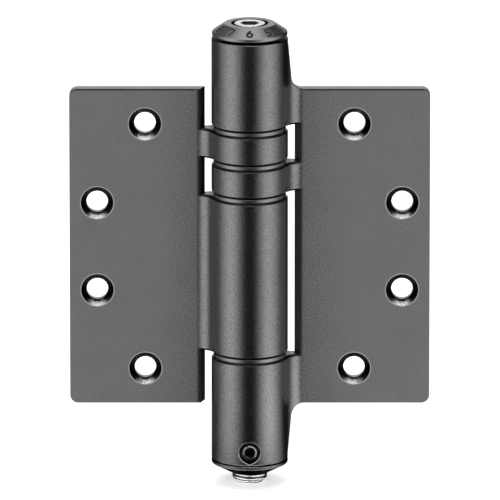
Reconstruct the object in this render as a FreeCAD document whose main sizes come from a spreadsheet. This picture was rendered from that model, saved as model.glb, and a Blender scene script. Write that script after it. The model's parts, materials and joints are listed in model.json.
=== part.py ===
import FreeCAD, Part
import math
import os
import re
import Sketcher

document = FreeCAD.newDocument("self_closing_hinge")
sizes = document.addObject("Spreadsheet::Sheet", "sizes")

# Self-closing hinge. Sizes are in millimetres and angles in degrees. The pivot axis is +Z, the
# countersunk side of the leaves faces -Y, and heights are counted from the middle of the leaves.
driving_sizes = {
    # where the middle of the leaves stands above the origin
    "leaf_middle": 2.0,
    # leaves
    "leaf_height": 114.3,
    "leaf_width": 63.5,
    "leaf_thickness": 4.6,
    "leaf_setback": 0.8,
    "leaf_corner": 2.9,
    "leaf_edge_round": 0.25,
    "slot_gap_front": 3.9,
    "slot_gap_back": 2.3,
    # knuckles of the barrel, from the top down
    "barrel_radius": 13.5,
    "first_knuckle": 31.8,
    "second_knuckle": 10.7,
    "third_knuckle": 10.5,
    "fifth_knuckle": 37.4,
    "joint_bevel": 0.8,
    "rim_round": 0.5,
    "front_fillet": 6.4,
    "back_fillet": 10.0,
    "root_reach": 10.5,
    # ribs that run on from the leaf along the end knuckles, and the collars past them
    "rib_fillet": 4.5,
    "rib_neck": 1.2,
    "rib_length": 16.85,
    "rib_ledge": 1.0,
    "top_collar": 2.2,
    "bottom_collar": 2.6,
    # screw holes of the leaves
    "inner_hole_inset": 26.65,
    "outer_hole_inset": 9.75,
    "inner_hole_margin": 12.7,
    "outer_hole_spacing": 31.75,
    "hole_diameter": 7.6,
    "countersink_diameter": 11.5,
    "countersink_angle": 82.0,
    # thrust washers
    "washer_thickness": 1.2,
    "washer_inset": 0.7,
    "end_play": 0.2,
    # walls of the barrel and fits
    "frame_wall": 3.5,
    "door_wall": 2.5,
    "seat_clearance": 0.05,
    "running_clearance": 0.05,
    "free_clearance": 0.3,
    # spring sleeve and bushes
    "sleeve_wall": 1.45,
    "sleeve_inset": 6.2,
    "upper_pivot_length": 6.8,
    # tension dial and its stud
    "dial_inset": 0.2,
    "dial_gap": 0.8,
    "dial_rim_height": 1.3,
    "dial_height": 4.2,
    "dial_bevel": 4.3,
    "dial_rim_round": 0.5,
    "dial_recess_gap": 1.13,
    "dial_recess_depth": 2.2,
    "dial_boss_length": 6.3,
    "stud_radius": 5.44,
    "stud_length": 9.0,
    "stud_edge": 0.15,
    "stud_hex": 6.0,
    "stud_hex_depth": 5.0,
    # spindle
    "spindle_pin_radius": 3.0,
    "spindle_pin_length": 6.0,
    "arbor_clearance": 0.5,
    "arbor_gap": 3.0,
    "flange_rise": 14.0,
    "flange_height": 10.0,
    "flange_clearance": 0.1,
    "shaft_step": 1.5,
    "cam_pitch": 16.0,
    "cam_lip": 1.0,
    "cam_run_out": 20.0,
    # drive key
    "key_width": 3.0,
    "key_height": 9.0,
    "key_depth_inside": 2.0,
    "key_depth_outside": 1.2,
    # torsion spring
    "coil_clearance": 0.5,
    "wire_diameter": 2.5,
    "coil_turns": 14,
    "coil_gap": 0.5,
    "leg_radius": 1.1,
    "leg_length": 5.5,
    "leg_angle": 12.0,
    "leg_clearance": 0.25,
    # damper cylinder, gland and piston
    "cylinder_wall": 1.95,
    "gland_height": 8.0,
    "cam_gap": 0.5,
    "ball_inset": 4.3,
    "ball_radius": 2.0,
    "ball_sink": 1.1,
    "ball_clearance": 0.2,
    "skirt_wall": 1.9,
    "skirt_gap": 1.0,
    "crown_gap": 0.8,
    "crown_height": 4.7,
    "orifice_radius": 1.9,
    "bottom_gap": 0.5,
    # rings of the seals
    "seal_radius": 0.75,
    "seal_squeeze": 0.05,
    # end plug
    "plug_gap": 0.3,
    "plug_rim": 1.2,
    "plug_cone_height": 3.7,
    "plug_lip": 0.4,
    "plug_shoulder": 2.5,
    "plug_groove_depth": 1.45,
    "plug_face_round": 0.3,
    "plug_rim_round": 0.5,
    "plug_land": 0.6,
    "plug_seal_inset": 1.0,
    # set screw of the end plug and its teardrop counterbore
    "screw_radius": 2.7,
    "screw_recess": 0.8,
    "screw_length": 4.1,
    "screw_hex": 3.4,
    "screw_hex_depth": 2.0,
    "screw_edge": 0.35,
    "counterbore_radius": 3.75,
    "counterbore_point": 4.2,
    "counterbore_tip_round": 0.5,
    "counterbore_margin": 0.6,
    "counterbore_depth": 1.2,
    "counterbore_edge": 0.3,
    # speed regulator
    "regulator_radius": 6.2,
    "regulator_length": 3.4,
    "regulator_edge": 1.5,
    "regulator_hex": 5.0,
    "regulator_hex_depth": 5.0,
    "neck_radius": 4.0,
    "neck_seal_rise": 3.0,
    "needle_radius": 1.4,
    "needle_tip_radius": 0.6,
    "needle_rise": 1.0,
    "needle_taper": 4.0,
}

for row, (alias, value) in enumerate(driving_sizes.items(), start=1):
    sizes.set(f"A{row}", alias)
    sizes.set(f"B{row}", str(value))
    sizes.setAlias(f"B{row}", alias)
document.recompute()


# Expressions name the sizes in plain words; these two tie them to the sheet.
def bound(text):
    def in_sheet(match):
        word = match.group()
        return f"sizes.{word}" if word in driving_sizes else word

    return re.sub(r"[a-z_]+", in_sheet, text)


def number(text):
    return float(sizes.evalExpression(bound(text)))


# Heights along the barrel. The end knuckles reach past the leaves, and the fourth fills what is left.
rib_end = "(leaf_height / 2 + rib_length)"
stack_top = f"({rib_end} + top_collar)"
stack_bottom = f"(-{rib_end} - bottom_collar)"
knuckles = {}
level = stack_top
for order in ("first", "second", "third"):
    lower = f"{level} - {order}_knuckle"
    knuckles[order] = (lower, level)
    level = f"{lower} - washer_thickness - end_play"

fifth_top = f"{stack_bottom} + fifth_knuckle"
fourth_bottom = f"{fifth_top} + washer_thickness + end_play"
fourth_top = level
knuckles["fourth"] = (fourth_bottom, fourth_top)
knuckles["fifth"] = (stack_bottom, fifth_top)

sleeve_top = f"{stack_top} - sleeve_inset"
sleeve_bottom = f"{fourth_top} - upper_pivot_length"
boss_bottom = f"{sleeve_top} - dial_boss_length"
dial_bottom = f"{stack_top} + dial_gap"
dial_top = f"{dial_bottom} + dial_height"
stud_bottom = f"{dial_top} - stud_length"
arbor_top = f"{boss_bottom} - arbor_gap"
pin_top = f"{arbor_top} + spindle_pin_length"

seal_groove = "(2 * seal_radius + 2 * seal_squeeze)"
screw_groove_half = "(screw_radius + free_clearance)"
screw_level = f"{stack_bottom} + counterbore_margin + counterbore_point"
plug_seal_bottom = f"{screw_level} + {screw_groove_half} + plug_land"
plug_seal_middle = f"{plug_seal_bottom} + {seal_groove} / 2"
plug_top = f"{plug_seal_bottom} + {seal_groove} + plug_seal_inset"
cone_top = f"{stack_bottom} - plug_gap - plug_rim"
cone_bottom = f"{cone_top} - plug_cone_height"
regulator_bottom = f"{cone_bottom} - regulator_length"
shoulder = f"{stack_bottom} + plug_shoulder"

stroke = "cam_pitch / 2"
groove_radius = "(ball_radius + ball_clearance)"
piston_bottom = f"{plug_top} + bottom_gap + {stroke}"
crown_top = f"{piston_bottom} + crown_height"
cam_bottom = f"{crown_top} + crown_gap"
ball_level = f"{cam_bottom} + cam_lip + {groove_radius} + {stroke}"
cam_top = f"{ball_level} + ball_inset"
skirt_top = f"{cam_top} - skirt_gap"
gland_bottom = f"{cam_top} + cam_gap"
cylinder_top = f"{gland_bottom} + gland_height"
flange_bottom = f"{cylinder_top} + flange_rise"
flange_top = f"{flange_bottom} + flange_height"

# How far the leaf's features stand from the axis, and the inner holes from each other.
slot_edge_front = "(barrel_radius + slot_gap_front)"
slot_edge_back = "(barrel_radius + slot_gap_back)"
knuckle_root = "(barrel_radius + root_reach)"
rib_waist = "(barrel_radius + rib_neck)"
inner_hole_reach = "(leaf_width - inner_hole_inset)"
outer_hole_reach = "(leaf_width - outer_hole_inset)"
inner_hole_spacing = "(leaf_height - 2 * inner_hole_margin)"

# Radii of what fits inside the barrel, from the outside in.
frame_bore = "(barrel_radius - frame_wall)"
door_bore = "(barrel_radius - door_wall)"
sleeve_radius = f"({frame_bore} - seat_clearance)"
sleeve_inside = f"({sleeve_radius} - sleeve_wall)"
coil_radius = f"({sleeve_inside} - coil_clearance - wire_diameter / 2)"
arbor_radius = f"({coil_radius} - wire_diameter / 2 - arbor_clearance)"
cylinder_inside = f"({sleeve_radius} - cylinder_wall)"
ball_reach = f"({cylinder_inside} - ball_sink)"
skirt_radius = f"({cylinder_inside} - running_clearance)"
skirt_inside = f"({skirt_radius} - skirt_wall)"
cam_radius = f"({skirt_inside} - running_clearance)"
shaft_radius = f"({cam_radius} - shaft_step)"
plug_bore = "(regulator_radius + running_clearance)"
neck_bore = "(neck_radius + running_clearance)"
dial_radius = "(barrel_radius - dial_inset)"
dial_top_radius = f"({dial_radius} - dial_bevel)"
dial_recess_radius = "(stud_radius + dial_recess_gap)"

sub_parts = []


def register(piece, label):
    piece.Label = label
    piece.setExpression("Placement.Base.z", bound("leaf_middle"))
    sub_parts.append(piece)
    return piece


def new_body(label):
    body = document.addObject("PartDesign::Body", label)
    body.AllowCompound = True
    return register(body, label)


def new_sketch(body, name, plane, offset="0"):
    sketch = body.newObject("Sketcher::SketchObject", name)
    support = [item for item in body.Origin.OriginFeatures if item.Role == plane][0]
    sketch.AttachmentSupport = [(support, "")]
    sketch.MapMode = "FlatFace"
    if offset != "0":
        sketch.setExpression("AttachmentOffset.Base.z", bound(offset))
    return sketch


def tie(sketch, kind, elements, text):
    index = sketch.addConstraint(Sketcher.Constraint(kind, *elements, number(text)))
    sketch.setExpression(f"Constraints[{index}]", bound(text))


def pin_point(sketch, geometry, end, across, along):
    for kind, axis, text in (("DistanceX", -2, across), ("DistanceY", -1, along)):
        if abs(number(text)) < 1e-9:
            sketch.addConstraint(Sketcher.Constraint("PointOnObject", geometry, end, axis))
        else:
            tie(sketch, kind, (-1, 1, geometry, end), text)


def point(across, along):
    return FreeCAD.Vector(number(across), number(along), 0)


def polygon(body, name, plane, corners, offset="0"):
    sketch = new_sketch(body, name, plane, offset)
    places = [point(*corner) for corner in corners]
    count = len(places)
    for index in range(count):
        sketch.addGeometry(Part.LineSegment(places[index], places[(index + 1) % count]))
    for index in range(count):
        following = (index + 1) % count
        sketch.addConstraint(Sketcher.Constraint("Coincident", index, 2, following, 1))
        pin_point(sketch, index, 1, *corners[index])
    return sketch


def circles(body, name, plane, centres, radius, offset="0"):
    sketch = new_sketch(body, name, plane, offset)
    upright = FreeCAD.Vector(0, 0, 1)
    for index, centre in enumerate(centres):
        sketch.addGeometry(Part.Circle(point(*centre), upright, number(radius)))
        pin_point(sketch, index, 3, *centre)
        tie(sketch, "Radius", (index,), radius)
    return sketch


def hexagon(body, name, plane, across_flats, along="0", offset="0", first_corner=30):
    reach = f"{across_flats} / sqrt(3)"
    corners = []
    for turn in range(first_corner, first_corner + 360, 60):
        corners.append((f"{reach} * cos({turn} deg)", f"{along} + {reach} * sin({turn} deg)"))
    return polygon(body, name, plane, corners, offset)


def pad(body, name, sketch, length):
    feature = body.newObject("PartDesign::Pad", name)
    feature.Profile = sketch
    feature.setExpression("Length", bound(length))
    document.recompute()
    return feature


def cut(body, name, sketch, length, away=False, both=False):
    before = body.Shape.Volume
    feature = body.newObject("PartDesign::Pocket", name)
    feature.Profile = sketch
    feature.setExpression("Length", bound(length))
    feature.Reversed = away
    feature.Midplane = both
    document.recompute()
    if not body.Shape.Volume < before - 1e-6:
        raise ValueError(f"{name} cuts nothing from {body.Label}")
    return feature


def dress_edges(body, kind, name, size, chosen):
    base = body.Tip
    names = [f"Edge{index}" for index, edge in enumerate(base.Shape.Edges, start=1) if chosen(edge)]
    feature = body.newObject(f"PartDesign::{kind}", name)
    feature.Base = (base, names)
    feature.setExpression("Radius" if kind == "Fillet" else "Size", bound(size))
    document.recompute()
    return feature


def round_edges(body, name, radius, chosen):
    return dress_edges(body, "Fillet", name, radius, chosen)


def bevel_edges(body, name, size, chosen):
    return dress_edges(body, "Chamfer", name, size, chosen)


def revolve(body, sketch):
    feature = body.newObject("PartDesign::Revolution", "turned")
    feature.Profile = sketch
    feature.ReferenceAxis = (sketch, ["V_Axis"])
    feature.Angle = 360
    document.recompute()
    return feature


def groove(body, name, sketch):
    before = body.Shape.Volume
    feature = body.newObject("PartDesign::Groove", name)
    feature.Profile = sketch
    feature.ReferenceAxis = (sketch, ["V_Axis"])
    feature.Angle = 360
    document.recompute()
    if not body.Shape.Volume < before - 1e-6:
        raise ValueError(f"{name} cuts nothing from {body.Label}")
    return feature


def turned_piece(label, corners):
    body = new_body(label)
    revolve(body, polygon(body, "section", "XZ_Plane", corners))
    return body


def ring(label, inner, outer, bottom, top):
    return turned_piece(label, [(inner, bottom), (outer, bottom), (outer, top), (inner, top)])


def seal_ring(label, inner_wall, middle):
    torus = document.addObject("Part::Torus", label)
    register(torus, label)
    torus.setExpression("Radius1", bound(f"{inner_wall} + seal_squeeze + seal_radius"))
    torus.setExpression("Radius2", bound("seal_radius"))
    torus.setExpression("Placement.Base.z", bound(f"leaf_middle + {middle}"))
    return torus


def near(first, second):
    return abs(first - second) < 1e-4


# One leaf with its knuckles. The leaf lies towards its own +X.
def knuckle_section(body, bottom):
    sketch = new_sketch(body, "knuckle_section", "XY_Plane", bottom)
    barrel = number("barrel_radius")
    front = number("front_fillet")
    back = number("back_fillet")
    root = number(knuckle_root)
    face = number("leaf_setback")
    rear = number("leaf_setback + leaf_thickness")
    front_centre = FreeCAD.Vector(math.sqrt((barrel + front) ** 2 - (front - face) ** 2), face - front)
    back_centre = FreeCAD.Vector(math.sqrt((barrel + back) ** 2 - (rear + back) ** 2), rear + back)
    front_turn = math.atan2(front_centre.y, front_centre.x)
    back_turn = math.atan2(back_centre.y, back_centre.x)
    upright = FreeCAD.Vector(0, 0, 1)
    centre = FreeCAD.Vector(0, 0, 0)
    front_start = FreeCAD.Vector(front_centre.x, face)
    back_end = FreeCAD.Vector(back_centre.x, rear)
    root_front = FreeCAD.Vector(root, face)
    root_back = FreeCAD.Vector(root, rear)

    def arc(middle, radius, start, end):
        return Part.ArcOfCircle(Part.Circle(middle, upright, radius), start, end)

    sketch.addGeometry(Part.LineSegment(root_front, front_start))
    sketch.addGeometry(arc(front_centre, front, math.pi / 2, math.pi + front_turn))
    sketch.addGeometry(arc(centre, barrel, back_turn, 2 * math.pi + front_turn))
    sketch.addGeometry(arc(back_centre, back, math.pi + back_turn, 3 * math.pi / 2))
    sketch.addGeometry(Part.LineSegment(back_end, root_back))
    sketch.addGeometry(Part.LineSegment(root_back, root_front))
    front_line, front_arc, barrel_arc, back_arc, back_line, root_line = range(6)
    for joined in (
        (front_line, 2, front_arc, 1),
        (front_arc, 2, barrel_arc, 2),
        (barrel_arc, 1, back_arc, 1),
        (back_arc, 2, back_line, 1),
    ):
        sketch.addConstraint(Sketcher.Constraint("Tangent", *joined))
    sketch.addConstraint(Sketcher.Constraint("Coincident", back_line, 2, root_line, 1))
    sketch.addConstraint(Sketcher.Constraint("Coincident", root_line, 2, front_line, 1))
    sketch.addConstraint(Sketcher.Constraint("Coincident", barrel_arc, 3, -1, 1))
    sketch.addConstraint(Sketcher.Constraint("Horizontal", front_line))
    sketch.addConstraint(Sketcher.Constraint("Horizontal", back_line))
    sketch.addConstraint(Sketcher.Constraint("Vertical", root_line))
    tie(sketch, "Radius", (barrel_arc,), "barrel_radius")
    tie(sketch, "Radius", (front_arc,), "front_fillet")
    tie(sketch, "Radius", (back_arc,), "back_fillet")
    pin_point(sketch, front_line, 1, knuckle_root, "leaf_setback")
    tie(sketch, "DistanceY", (root_line, 2, root_line, 1), "leaf_thickness")
    return sketch


def rib_outline(body, sign):
    sketch = new_sketch(body, "rib_outline", "XZ_Plane")
    edge = f"{sign} * leaf_height / 2"
    waist = f"{sign} * (leaf_height / 2 + rib_fillet)"
    tip = f"{sign} * (leaf_height / 2 + rib_length + rib_ledge)"
    outside = f"{knuckle_root} + rib_fillet"
    corners = [
        (rib_waist, waist),
        ("barrel_radius", tip),
        (outside, tip),
        (outside, edge),
        (f"{rib_waist} + rib_fillet", edge),
    ]
    places = [point(*corner) for corner in corners]
    last = len(corners) - 2
    for index in range(last + 1):
        sketch.addGeometry(Part.LineSegment(places[index], places[index + 1]))
        pin_point(sketch, index, 1, *corners[index])
        if index:
            sketch.addConstraint(Sketcher.Constraint("Coincident", index - 1, 2, index, 1))
    pin_point(sketch, last, 2, *corners[-1])
    centre = point(f"{rib_waist} + rib_fillet", waist)
    circle = Part.Circle(centre, FreeCAD.Vector(0, 0, 1), number("rib_fillet"))
    turns = (math.pi, 1.5 * math.pi) if sign > 0 else (0.5 * math.pi, math.pi)
    curve = sketch.addGeometry(Part.ArcOfCircle(circle, *turns))
    waist_end, edge_end = (1, 2) if sign > 0 else (2, 1)
    sketch.addConstraint(Sketcher.Constraint("Coincident", curve, waist_end, 0, 1))
    sketch.addConstraint(Sketcher.Constraint("Coincident", curve, edge_end, last, 2))
    tie(sketch, "Radius", (curve,), "rib_fillet")
    return sketch


def leaf(label, spans, collars, bore):
    body = new_body(label)
    for bottom, top in spans:
        pad(body, "knuckle", knuckle_section(body, bottom), f"{top} - ({bottom})")
    for sign, bottom, top in collars:
        groove(body, "rib", rib_outline(body, sign))
        collar = circles(body, "collar_section", "XY_Plane", [("0", "0")], "barrel_radius", bottom)
        pad(body, "collar", collar, f"{top} - ({bottom})")

    joint_ends = [number(end) for span in spans for end in span]
    open_ends = [number(end) for sign, bottom, top in collars for end in (bottom, top)]
    inner_ends = [number(f"{sign} * {rib_end}") for sign, bottom, top in collars]
    barrel_radius = number("barrel_radius")

    def rims(ends):
        def on_rim(edge):
            box = edge.BoundBox
            flat = near(box.ZMin, box.ZMax)
            at_end = any(near(box.ZMin, end) for end in ends)
            inner = any(near(box.ZMin, end) for end in inner_ends)
            round_edge = hasattr(edge.Curve, "Radius") and near(edge.Curve.Radius, barrel_radius)
            return flat and at_end and not inner and round_edge

        return on_rim

    bevel_edges(body, "joint_rims", "joint_bevel", rims(joint_ends))
    if collars:
        round_edges(body, "end_rims", "rim_round", rims(open_ends))

    plate = polygon(
        body,
        "plate_section",
        "XY_Plane",
        [
            (slot_edge_front, "leaf_setback"),
            ("leaf_width", "leaf_setback"),
            ("leaf_width", "leaf_setback + leaf_thickness"),
            (slot_edge_back, "leaf_setback + leaf_thickness"),
        ],
        "-leaf_height / 2",
    )
    pad(body, "plate", plate, "leaf_height")
    leaf_width = number("leaf_width")

    def on_corner(edge):
        box = edge.BoundBox
        across = near(box.XMin, leaf_width) and near(box.XMax, leaf_width)
        return across and near(box.ZMin, box.ZMax)

    round_edges(body, "corners", "leaf_corner", on_corner)
    faces = [number("leaf_setback"), number("leaf_setback + leaf_thickness")]
    leaf_end = number("leaf_height / 2")

    def on_leaf_edge(edge):
        box = edge.BoundBox
        on_face = near(box.YMin, box.YMax) and any(near(box.YMin, face) for face in faces)
        on_side = near(box.XMin, leaf_width)
        on_end = near(box.ZMin, box.ZMax) and near(abs(box.ZMin), leaf_end)
        return on_face and (on_side or on_end)

    round_edges(body, "leaf_edges", "leaf_edge_round", on_leaf_edge)

    bore_section = circles(body, "bore_section", "XY_Plane", [("0", "0")], bore)
    cut(body, "bore", bore_section, "2 * leaf_height", both=True)

    centres = []
    for reach, spacing in (
        (inner_hole_reach, inner_hole_spacing),
        (outer_hole_reach, "outer_hole_spacing"),
    ):
        centres.append((reach, f"{spacing} / 2"))
        centres.append((reach, f"-{spacing} / 2"))
    marks = circles(body, "hole_marks", "XZ_Plane", centres, "hole_diameter / 2", "-leaf_setback")
    document.recompute()
    holes = body.newObject("PartDesign::Hole", "screw_holes")
    holes.Profile = marks
    holes.ThreadType = "None"
    holes.setExpression("Diameter", bound("hole_diameter"))
    holes.DepthType = "ThroughAll"
    holes.HoleCutType = "Countersink"
    holes.HoleCutCustomValues = True
    holes.setExpression("HoleCutDiameter", bound("countersink_diameter"))
    holes.setExpression("HoleCutCountersinkAngle", bound("countersink_angle"))
    document.recompute()
    return body


frame_spans = [
    (knuckles["first"][0], rib_end),
    knuckles["third"],
    (f"-{rib_end}", knuckles["fifth"][1]),
]
frame_collars = [(1, rib_end, stack_top), (-1, stack_bottom, f"-{rib_end}")]
frame_leaf = leaf("frame_leaf", frame_spans, frame_collars, frame_bore)

# The door leaf is modelled upside down and turned over about Y, so it lies towards -X.
door_spans = [(f"-({top})", f"-({bottom})") for bottom, top in (knuckles["second"], knuckles["fourth"])]
door_leaf = leaf("door_leaf", door_spans, [], door_bore)
turned_over = FreeCAD.Rotation(FreeCAD.Vector(0, 1, 0), 180)
door_leaf.Placement = FreeCAD.Placement(FreeCAD.Vector(0, 0, 0), turned_over)
door_leaf.setExpression("Placement.Base.z", bound("leaf_middle"))


# The end plug's set screw stands in the front of the lowest knuckle, below a teardrop counterbore.
def teardrop(body, offset):
    sketch = new_sketch(body, "counterbore_outline", "XZ_Plane", offset)
    bow_radius = number("counterbore_radius")
    tip_radius = number("counterbore_tip_round")
    tip_level = f"{screw_level} - counterbore_point + counterbore_tip_round"
    bow_centre = point("0", screw_level)
    tip_centre = point("0", tip_level)
    lean = math.asin((bow_radius - tip_radius) / (bow_centre.y - tip_centre.y))
    upright = FreeCAD.Vector(0, 0, 1)
    towards = FreeCAD.Vector(math.cos(lean), -math.sin(lean), 0)
    across = FreeCAD.Vector(-towards.x, towards.y, 0)
    bow_circle = Part.Circle(bow_centre, upright, bow_radius)
    tip_circle = Part.Circle(tip_centre, upright, tip_radius)
    left_bow = bow_centre + across * bow_radius
    left_tip = tip_centre + across * tip_radius
    right_bow = bow_centre + towards * bow_radius
    right_tip = tip_centre + towards * tip_radius
    sketch.addGeometry(Part.ArcOfCircle(bow_circle, -lean, math.pi + lean))
    sketch.addGeometry(Part.LineSegment(left_bow, left_tip))
    sketch.addGeometry(Part.ArcOfCircle(tip_circle, math.pi + lean, 2 * math.pi - lean))
    sketch.addGeometry(Part.LineSegment(right_tip, right_bow))
    bow, left_side, tip, right_side = range(4)
    for joined in (
        (bow, 2, left_side, 1),
        (left_side, 2, tip, 1),
        (tip, 2, right_side, 1),
        (right_side, 2, bow, 1),
    ):
        sketch.addConstraint(Sketcher.Constraint("Tangent", *joined))
    tie(sketch, "Radius", (bow,), "counterbore_radius")
    tie(sketch, "Radius", (tip,), "counterbore_tip_round")
    pin_point(sketch, bow, 3, "0", screw_level)
    pin_point(sketch, tip, 3, "0", tip_level)
    return sketch


screw_place = [("0", screw_level)]
screw_face = "(barrel_radius - screw_recess)"
cut(frame_leaf, "counterbore", teardrop(frame_leaf, "barrel_radius"), "counterbore_depth")
counterbore_floor = -number("barrel_radius - counterbore_depth")
counterbore_top = number(f"{screw_level} + counterbore_radius")
counterbore_tip = number(f"{screw_level} - counterbore_point")


def on_counterbore(edge):
    box = edge.BoundBox
    inside = box.ZMin > counterbore_tip - 0.05 and box.ZMax < counterbore_top + 0.05
    return inside and box.YMax < counterbore_floor - 0.05


bevel_edges(frame_leaf, "counterbore_bevel", "counterbore_edge", on_counterbore)
screw_bore = "screw_radius + seat_clearance"
screw_hole = circles(frame_leaf, "screw_hole_section", "XZ_Plane", screw_place, screw_bore, "barrel_radius")
cut(frame_leaf, "screw_hole", screw_hole, f"barrel_radius - {frame_bore} / 2")

set_screw = new_body("plug_set_screw")
screw_tip = f"{screw_face} - screw_length"
shank = circles(set_screw, "shank_section", "XZ_Plane", screw_place, "screw_radius", screw_tip)
pad(set_screw, "shank", shank, "screw_length")
socket = hexagon(set_screw, "socket_outline", "XZ_Plane", "screw_hex", screw_level, screw_face)
cut(set_screw, "socket", socket, "screw_hex_depth")
screw_front = -number(screw_face)


def on_screw_edge(edge):
    return hasattr(edge.Curve, "Radius") and near(edge.BoundBox.YMax, screw_front)


bevel_edges(set_screw, "screw_bevel", "screw_edge", on_screw_edge)

# Thrust washers, each lying on the knuckle below its joint.
for count, order in enumerate(("second", "third", "fourth", "fifth"), start=1):
    seat = knuckles[order][1]
    ring(
        f"thrust_washer_{count}",
        f"{sleeve_radius} + free_clearance",
        "barrel_radius - washer_inset",
        seat,
        f"{seat} + washer_thickness",
    )

# Pivot of the barrel: a sleeve above, the damper cylinder below, and bushes in the door leaf.
ring("spring_sleeve", sleeve_inside, sleeve_radius, sleeve_bottom, sleeve_top)
bush_inside = f"{sleeve_radius} + running_clearance"
bush_radius = f"{door_bore} - seat_clearance"
for label, bottom, top in (
    ("upper_bush", *knuckles["second"]),
    ("middle_bush", sleeve_bottom, fourth_top),
    ("lower_bush", fourth_bottom, cylinder_top),
):
    ring(label, bush_inside, bush_radius, bottom, top)

# Tension dial, with its skirt in the top knuckle and its boss in the sleeve, and its hex stud.
pin_bore = "(spindle_pin_radius + running_clearance)"
stud_bore = "(stud_radius + seat_clearance)"
skirt_bottom = f"{sleeve_top} + end_play"
dial_skirt = f"({frame_bore} - running_clearance)"
dial_boss = f"({sleeve_inside} - free_clearance)"
recess_floor = f"{dial_top} - dial_recess_depth"
dial = turned_piece(
    "tension_dial",
    [
        (pin_bore, boss_bottom),
        (dial_boss, boss_bottom),
        (dial_boss, skirt_bottom),
        (dial_skirt, skirt_bottom),
        (dial_skirt, dial_bottom),
        (dial_radius, dial_bottom),
        (dial_radius, f"{dial_bottom} + dial_rim_height"),
        (dial_top_radius, dial_top),
        (dial_recess_radius, dial_top),
        (dial_recess_radius, recess_floor),
        (stud_bore, recess_floor),
        (stud_bore, stud_bottom),
        ("0", stud_bottom),
        ("0", f"{pin_top} + end_play"),
        (pin_bore, f"{pin_top} + end_play"),
    ],
)
dial_edge = number(dial_radius)


def on_dial_rim(edge):
    return hasattr(edge.Curve, "Radius") and near(edge.Curve.Radius, dial_edge)


round_edges(dial, "dial_rim", "dial_rim_round", on_dial_rim)
leg_across = f"{coil_radius} * cos(leg_angle * 1 deg)"
leg_along = f"{coil_radius} * sin(leg_angle * 1 deg)"
leg_hole = "leg_radius + leg_clearance"
upper_leg = [(leg_across, f"-{leg_along}")]
lower_leg = [(leg_across, leg_along)]
dial_leg_hole = circles(dial, "leg_hole_section", "XY_Plane", upper_leg, leg_hole, boss_bottom)
cut(dial, "leg_hole", dial_leg_hole, "leg_length + leg_clearance", away=True)

stud = turned_piece(
    "tension_stud",
    [
        ("0", stud_bottom),
        ("stud_radius", stud_bottom),
        ("stud_radius", f"{dial_top} - stud_edge"),
        ("stud_radius - stud_edge", dial_top),
        ("0", dial_top),
    ],
)
stud_socket = hexagon(stud, "socket_outline", "XY_Plane", "stud_hex", "0", dial_top, 0)
cut(stud, "socket", stud_socket, "stud_hex_depth")

# Spindle: pin, arbor inside the spring, keyed flange, shaft and helical cam.
flange_radius = f"({door_bore} - flange_clearance)"
spindle = turned_piece(
    "spindle",
    [
        ("0", cam_bottom),
        (cam_radius, cam_bottom),
        (cam_radius, cam_top),
        (shaft_radius, cam_top),
        (shaft_radius, flange_bottom),
        (flange_radius, flange_bottom),
        (flange_radius, flange_top),
        (arbor_radius, flange_top),
        (arbor_radius, arbor_top),
        ("spindle_pin_radius", arbor_top),
        ("spindle_pin_radius", pin_top),
        ("0", pin_top),
    ],
)
run_out_rise = "cam_pitch * cam_run_out / 360"
for turn in (0, 180):
    start = circles(
        spindle,
        "ball_track_section",
        "XZ_Plane",
        [(ball_reach, f"{ball_level} - {stroke} - {run_out_rise}")],
        groove_radius,
    )
    start.AttachmentOffset = FreeCAD.Placement(
        FreeCAD.Vector(0, 0, 0), FreeCAD.Rotation(FreeCAD.Vector(0, 1, 0), turn - number("cam_run_out"))
    )
    start.setExpression("AttachmentOffset.Rotation.Angle", bound(f"{turn} - cam_run_out"))
    document.recompute()
    before = spindle.Shape.Volume
    track = spindle.newObject("PartDesign::SubtractiveHelix", "ball_track")
    track.Profile = start
    track.ReferenceAxis = (start, ["V_Axis"])
    track.Mode = 0
    track.setExpression("Pitch", bound("cam_pitch"))
    track.setExpression("Height", bound(f"{stroke} + 2 * {run_out_rise}"))
    document.recompute()
    if not spindle.Shape.Volume < before - 1e-6:
        raise ValueError("the ball track cuts nothing from the spindle")
spindle_leg_hole = circles(spindle, "leg_hole_section", "XY_Plane", lower_leg, leg_hole, flange_top)
cut(spindle, "leg_hole", spindle_leg_hole, "leg_length + leg_clearance")

# Drive key between the spindle's flange and the door leaf, on the side of the leaf.
key_inner = f"({flange_radius} - key_depth_inside)"
key_outer = f"({door_bore} + key_depth_outside)"
key_bottom = f"{flange_bottom} + (flange_height - key_height) / 2"
key = document.addObject("Part::Box", "drive_key")
register(key, "drive_key")
key.setExpression("Length", bound(f"{key_outer} - {key_inner}"))
key.setExpression("Width", bound("key_width"))
key.setExpression("Height", bound("key_height"))
key.setExpression("Placement.Base.x", bound(f"-{key_outer}"))
key.setExpression("Placement.Base.y", bound("-key_width / 2"))
key.setExpression("Placement.Base.z", bound(f"leaf_middle + {key_bottom}"))


def key_slot(body, inner, outer, bottom):
    half = "key_width / 2 + seat_clearance"
    corners = [(inner, f"-({half})"), (outer, f"-({half})"), (outer, half), (inner, half)]
    outline = polygon(body, "key_slot_outline", "XY_Plane", corners, bottom)
    cut(body, "key_slot", outline, "key_height + 2 * seat_clearance", away=True)


key_slot(
    spindle,
    f"-{flange_radius} - key_depth_outside",
    f"-{key_inner} + seat_clearance",
    f"{key_bottom} - seat_clearance",
)
key_slot(
    door_leaf,
    f"{door_bore} - key_depth_inside",
    f"{key_outer} + seat_clearance",
    f"-({key_bottom}) - key_height - seat_clearance",
)

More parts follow.
